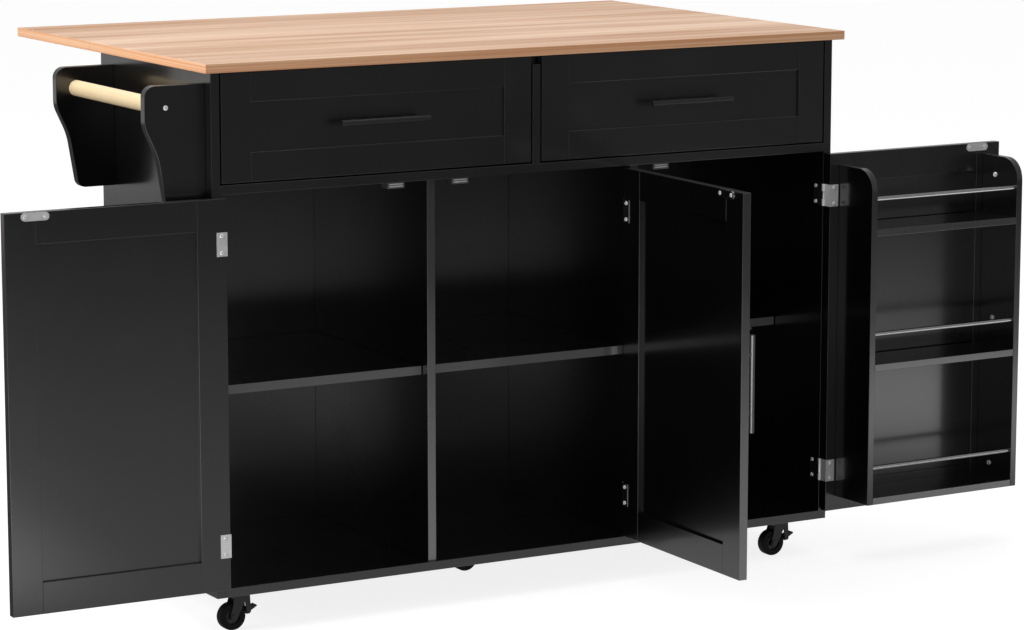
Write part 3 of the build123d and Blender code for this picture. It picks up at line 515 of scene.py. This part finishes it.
# Hinges and strike plates: folded zinc-plated leaves on the panels and doors, and a rounded strike plate at each
# door's free corner, all held by cross-recessed pan-head screws.
DOOR_SIDE = {"left_door": 1, "middle_door": -1, "right_door": -1}
DOOR_OPEN = {"left_door": 181.0, "middle_door": 89.0, "right_door": 181.0}
HINGE_LEVELS = (0.1545, 0.6375)
HINGE_SCREW_STEP = 0.0135
HINGE_SCREW_LEVELS = [level + step for level in HINGE_LEVELS for step in (-HINGE_SCREW_STEP, HINGE_SCREW_STEP)]
DOOR_PLATE_FACE = 0.0187
DOOR_SCREW_IN = 0.0097
PANEL_SCREW_BACK = 0.0232
PANEL_PLATE_FACE = 0.0002
STRIKE_FACE = 0.0192
STRIKE_MIDDLE = 0.31853
STRIKE_LEVEL = 0.7025
STRIKE_SCREW_STEP = 0.0165
STRIKE_HEAD = 0.0008
HEAD_RADIUS = 0.0033
HEAD_HEIGHT = 0.0017
HEAD_STEPS = 64
CROWN_RINGS = 22
CROWN_POLE = 0.04
CROWN_FALL = 0.86
CROWN_POWER = 2.6
RIM_REACH = (1.0, 1.0, 0.98)
RIM_RISE = (0.35, 0.06, 0.0)
SHANK_REACH = (0.48, 0.46)
RECESS_ARM = 0.00042
RECESS_ARM_WALL = 0.12
RECESS_REACH = 0.58
RECESS_END_WALL = 0.06
RECESS_DEPTH = 0.5
SCREW_TURNS = (0.3, 1.1, 0.75, 0.1, 0.55)


def door_pin(name):
    """The place of a door's hinge pin, from its joint."""
    return np.array(next(joint["pos_m"] for joint in frame["joints"] if joint["name"] == name + "_hinge"))


def door_places(name, points):
    """Points drawn on a closed door that reaches right from its pin, mirrored and turned to where the door stands."""
    pin = door_pin(name)
    angle = math.radians(-DOOR_SIDE[name] * DOOR_OPEN[name])
    points = np.asarray(points, float)
    x = points[..., 0] * DOOR_SIDE[name]
    y = points[..., 1]
    turned_x = pin[0] + x * math.cos(angle) - y * math.sin(angle)
    turned_y = pin[1] + x * math.sin(angle) + y * math.cos(angle)
    return np.stack([turned_x, turned_y, points[..., 2]], axis=-1)


def door_way(name, way):
    """A direction drawn on a closed door, as it is where the door stands."""
    return door_places(name, way) - door_places(name, (0.0, 0.0, 0.0))


def joined(shapes):
    """Several shapes as one: their points one after another and their faces counted on."""
    faces = []
    base = 0
    for points, blocks in shapes:
        faces += [block + base for block in blocks]
        base += len(points)
    return np.concatenate([points for points, blocks in shapes]), faces


def screw_heads(centres, outward, radius, height, shank=0.0):
    """Pan heads on an upright face: each is a profile from the crown's pole over the rim to its seat, or on down a
    shank, carried round the axis named by outward. The crown is pressed in where it lies within a cross, by the
    smaller of its distances to the arms' middle lines, and each screw is turned by its own angle."""
    outward = np.asarray(outward, float)
    along = np.cross(outward, (0.0, 0.0, 1.0))
    third = np.cross(outward, along)
    crown = np.linspace(CROWN_POLE, 1.0, CROWN_RINGS)
    reach = np.concatenate([crown, RIM_REACH]) * radius
    rise = np.concatenate([np.sqrt(1 - (CROWN_FALL * crown) ** CROWN_POWER), RIM_RISE]) * height
    if shank:
        reach = np.concatenate([reach, np.array(SHANK_REACH) * radius])
        rise = np.concatenate([rise, [0.0, -shank]])
    spin = np.linspace(0.0, 2 * np.pi, HEAD_STEPS, endpoint=False)
    east = reach[:, None] * np.cos(spin)[None, :]
    north = reach[:, None] * np.sin(spin)[None, :]
    arm = np.minimum(np.abs(east), np.abs(north))
    inside = np.clip((RECESS_ARM * radius / HEAD_RADIUS - arm) / (RECESS_ARM_WALL * RECESS_ARM), 0, 1)
    inside = inside * np.clip((RECESS_REACH * radius - reach[:, None]) / (RECESS_END_WALL * radius), 0, 1)
    on_crown = (np.arange(len(reach)) < CROWN_RINGS)[:, None]
    lift = rise[:, None] - RECESS_DEPTH * height * inside * on_crown
    step = np.arange(HEAD_STEPS)
    after = (step + 1) % HEAD_STEPS
    count = len(reach) * HEAD_STEPS
    last = count - HEAD_STEPS
    faces = [grid_faces(len(reach), HEAD_STEPS, False, True)[:, ::-1],
             np.stack([step, after, np.full(HEAD_STEPS, count)], axis=-1),
             np.stack([last + after, last + step, np.full(HEAD_STEPS, count + 1)], axis=-1)]
    shapes = []
    for i, centre in enumerate(np.asarray(centres, float)):
        turn = SCREW_TURNS[i % len(SCREW_TURNS)]
        u = math.cos(turn) * along + math.sin(turn) * third
        v = math.cos(turn) * third - math.sin(turn) * along
        body = centre + east[..., None] * u + north[..., None] * v + lift[..., None] * outward
        poles = np.stack([centre + (rise[0] - RECESS_DEPTH * height) * outward, centre + rise[-1] * outward])
        shapes.append((np.concatenate([body.reshape(-1, 3), poles]), faces))
    return joined(shapes)


bright_plate = steel("bright_plate", (0.86, 0.86, 0.87), gloss=(0.12, 0.24), drawn=(1.0, 1.0, 0.3))
dress(bright_plate, "door_hinge_panel_leaves")
for name in DOOR_NAMES:
    dress(bright_plate if name == "middle_door" else zinc_plate, name + "_fittings")
    pin = door_pin(name)
    inward = DOOR_SIDE[name]
    spots = [(pin[0] - inward * PANEL_PLATE_FACE, pin[1] + PANEL_SCREW_BACK, level) for level in HINGE_SCREW_LEVELS]
    screws = new_piece(name + "_panel_screws", *screw_heads(spots, (inward, 0.0, 0.0), HEAD_RADIUS, HEAD_HEIGHT))
    screws.data.materials.append(zinc_plate)
    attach(screws, "cabinet")
    outward = door_way(name, (0.0, 1.0, 0.0))
    hinge_spots = [(DOOR_SCREW_IN, DOOR_PLATE_FACE, level) for level in HINGE_SCREW_LEVELS]
    strike_spots = [(STRIKE_MIDDLE + step, STRIKE_FACE, STRIKE_LEVEL)
                    for step in (-STRIKE_SCREW_STEP, STRIKE_SCREW_STEP)]
    shapes = [screw_heads(door_places(name, hinge_spots), outward, HEAD_RADIUS, HEAD_HEIGHT),
              screw_heads(door_places(name, strike_spots), outward, HEAD_RADIUS, STRIKE_HEAD)]
    screws = new_piece(name + "_screws", *joined(shapes))
    screws.data.materials.append(zinc_plate)
    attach(screws, name)

# Catches: a small moulded grey case under the deck behind each door's strike plate, with two bright steel pole bars
# round its magnet.
POLE_FRONT = 0.0168
POLE_LEVELS = {"low": 0.7035, "high": 0.707}
POLE_HALF_LENGTH = 0.0126
POLE_HALF_HEIGHT = 0.0011
POLE_DEPTH = 0.0024
POLE_SOFTNESS = 0.0003
POLE_SOFT_DEPTH = 0.0002
POLE_STEPS = 72
POLE_SQUARENESS = 1 / 3
catch_grey = coated("catch_grey", (0.16, 0.16, 0.165), gloss=(0.36, 0.46), peel_scale=2000.0, peel_depth=0.00006)
pole_steel = steel("pole_steel", (0.95, 0.95, 0.95), gloss=(0.2, 0.3), drawn=(0.3, 1.0, 1.0), metallic=0.1)
dress(catch_grey, "magnetic_catches")


def pole_bar(centre):
    """A bar with softened ends: a rounded oblong loop, where the sixth powers of its two reaches add up to one, set a
    little in at its face and then carried straight back, with a flat face at each end."""
    turn = np.linspace(0.0, 2 * np.pi, POLE_STEPS, endpoint=False)[None, :]
    depth = np.array([0.0, POLE_SOFT_DEPTH, POLE_DEPTH])[:, None]
    inset = np.array([POLE_SOFTNESS, 0.0, 0.0])[:, None]
    across = (POLE_HALF_LENGTH - inset) * squared_off(np.cos(turn), POLE_SQUARENESS)
    rise = (POLE_HALF_HEIGHT - inset) * squared_off(np.sin(turn), POLE_SQUARENESS)
    points = np.stack([centre[0] + across, centre[1] + depth + 0 * across, centre[2] + rise], axis=-1)
    loop = np.arange(POLE_STEPS)[None, :]
    back = (len(depth) - 1) * POLE_STEPS + loop[:, ::-1]
    return points, [grid_faces(len(depth), POLE_STEPS, False, True)[:, ::-1], loop, back]


for name in DOOR_NAMES:
    for which, level in POLE_LEVELS.items():
        spot = (door_pin(name)[0] + DOOR_SIDE[name] * STRIKE_MIDDLE, FRONT_Y + POLE_FRONT, level)
        bar = new_piece(name + "_catch_bar_" + which, *pole_bar(spot), smooth=False)
        bar.data.materials.append(pole_steel)
        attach(bar, "cabinet")

# Spice rack: two sides with a rounded top corner and three boards, painted as the doors are, three polished steel
# rods and domed screws through the sides into the door.
RACK_HEAD_RADIUS = 0.0046
RACK_HEAD_HEIGHT = 0.0034
RACK_FACES = (0.0322, 0.33303)
RACK_SCREW_DEEP = 0.0537
RACK_SCREW_SHARES = np.array((0.055, 0.5052, 0.9424))
polished_rod = steel("polished_rod", (0.4, 0.4, 0.41), gloss=(0.07, 0.14), drawn=(0.06, 0.06, 1.0))
dress(black_lacquer, "rack_sides")
# The boards' front edges carry the painted grey highlight.
dress(highlit_edge_lacquer, "rack_boards")
dress(polished_rod, "rack_rods")
rack_low, rack_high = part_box("rack_sides")
rack_levels = rack_low.z + RACK_SCREW_SHARES * (rack_high.z - rack_low.z)
shapes = []
for face, inward in zip(RACK_FACES, (1.0, -1.0)):
    spots = door_places("right_door", [(face, RACK_SCREW_DEEP, level) for level in rack_levels])
    outward = door_way("right_door", (inward, 0.0, 0.0))
    shapes.append(screw_heads(spots, outward, RACK_HEAD_RADIUS, RACK_HEAD_HEIGHT))
rack_screws = new_piece("rack_screws", *joined(shapes))
rack_screws.data.materials.append(zinc_plate)
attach(rack_screws, "right_door")
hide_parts("rack_fixings")

# Drawers: framed fibreboard fronts with bar handles, painted and coated as on the doors, on fibreboard boxes whose
# zinc-plated rails run in channels screwed to the panels.
for name in ("left_drawer", "right_drawer"):
    dress(black_lacquer, name + "_front", name + "_box")
    dress(powder_black, name + "_handle")
    dress(zinc_plate, name + "_rails")
dress(zinc_plate, "drawer_runner_channels")

# Towel rail: two shaped arms on the left panel, painted black, with a sanded hardwood dowel between them that a
# pan-head screw holds at each end.
TOWEL_HEAD_RADIUS = 0.004
TOWEL_HEAD_HEIGHT = 0.002
TOWEL_SHANK = 0.03
dress(black_lacquer, "towel_arm_front", "towel_arm_rear")
screw_low, screw_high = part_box("towel_rail_screws")
middle = (screw_low + screw_high) / 2
shapes = []
for face, outward in ((screw_low.y + TOWEL_HEAD_HEIGHT, -1.0), (screw_high.y - TOWEL_HEAD_HEIGHT, 1.0)):
    shapes.append(screw_heads([(middle.x, face, middle.z)], (0.0, outward, 0.0), TOWEL_HEAD_RADIUS,
                              TOWEL_HEAD_HEIGHT, TOWEL_SHANK))
towel_screws = new_piece("towel_screws", *joined(shapes))
towel_screws.data.materials.append(zinc_plate)
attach(towel_screws, "cabinet")
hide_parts("towel_rail_screws")

# Wood's figure along X: broad bands, fine streaks and short pores, each noise drawn out along the grain. The pores
# are its height and the streaks its gloss.
WOOD_ROUGHNESS = 0.45
PORE_STRENGTH = 0.3
PORE_RELIEF = 0.00006
BAND_SHARE = 0.58
STREAK_SHARE = 0.4
PORE_SHARE = 0.3
wood_figure, given, result = surface_group("wood_figure", Vector="Vector", Pale="Color", Dark="Color")
where = given["Vector"]
bands = spread(wood_figure, noise(wood_figure, where, scale=1.0, detail=3.0, stretch=(0.6, 7.0, 7.0)),
               (0.36, 0.64), (0.0, BAND_SHARE))
streaks = spread(wood_figure, noise(wood_figure, where, scale=1.0, detail=5.0, stretch=(1.3, 34.0, 34.0)),
                 (0.4, 0.68), (0.0, STREAK_SHARE))
pores = spread(wood_figure, noise(wood_figure, where, scale=1.0, detail=2.0, stretch=(22.0, 620.0, 620.0)),
               (0.6, 0.75), (0.0, PORE_SHARE))
streaked = reckon(wood_figure, "ADD", bands, streaks, clamp=True)
darkness = reckon(wood_figure, "ADD", streaked, pores, clamp=True)
feed(wood_figure, result["Colour"], mixed(wood_figure, darkness, given["Pale"], given["Dark"]))
feed(wood_figure, result["Height"], spread(wood_figure, pores, (0.0, PORE_SHARE), (1.0, 0.0)))
feed(wood_figure, result["Gloss"], spread(wood_figure, streaks, (0.0, STREAK_SHARE), (0.38, 0.48)))


def wooden(name, pale, dark, turn):
    """A wood between a pale and a dark colour, whose grain runs along X once the piece's coordinates are turned."""
    material, tree, shader = new_material(name, pale, WOOD_ROUGHNESS)
    mapping = tree.nodes.new("ShaderNodeMapping")
    mapping.inputs["Rotation"].default_value = turn
    tree.links.new(tree.nodes.new("ShaderNodeTexCoord").outputs["Object"], mapping.inputs["Vector"])
    lay_on(tree, shader, wood_figure, PORE_STRENGTH, PORE_RELIEF,
           Vector=mapping.outputs["Vector"], Pale=(*pale, 1.0), Dark=(*dark, 1.0))
    return material


dowel_wood = wooden("dowel_wood", pale=(0.85, 0.69, 0.43), dark=(0.64, 0.47, 0.27), turn=(0.0, 0.0, math.pi / 2))
dress(dowel_wood, "towel_dowel")

# Worktop and drop leaf: wood-faced boards with a clear satin coat, edged in a warmer banding that shows its layers,
# the leaf hung behind on three flat hinges and propped by two folding steel stays.
BANDING_PALE = (0.89, 0.53, 0.31, 1.0)
BANDING_DARK = (0.72, 0.33, 0.157, 1.0)
BANDING_FACING = (0.35, 0.75), (1.0, 0.0)
BANDING_LAYERS = (1.2, 1.2, 330.0)
worktop_wood = wooden("worktop_wood", pale=(0.81, 0.58, 0.42), dark=(0.4, 0.187, 0.08), turn=(0.0, 0.0, 0.0))
tree = worktop_wood.node_tree
where = tree.nodes.new("ShaderNodeTexCoord").outputs
flat = reckon(tree, "ABSOLUTE", axes(tree, where["Normal"])["Z"])
layers = noise(tree, where["Object"], scale=1.0, detail=3.0, stretch=BANDING_LAYERS)
banding = mixed(tree, spread(tree, layers, (0.38, 0.66), (0.0, 1.0)), BANDING_PALE, BANDING_DARK)
lay_over(worktop_wood, spread(tree, flat, *BANDING_FACING), banding)
dress(worktop_wood, "worktop", "drop_leaf")
dress(zinc_plate, "leaf_hinge_fixed_plates", "leaf_hinge_moving_plates", "leaf_stay_left", "leaf_stay_right",
      "stay_brackets")
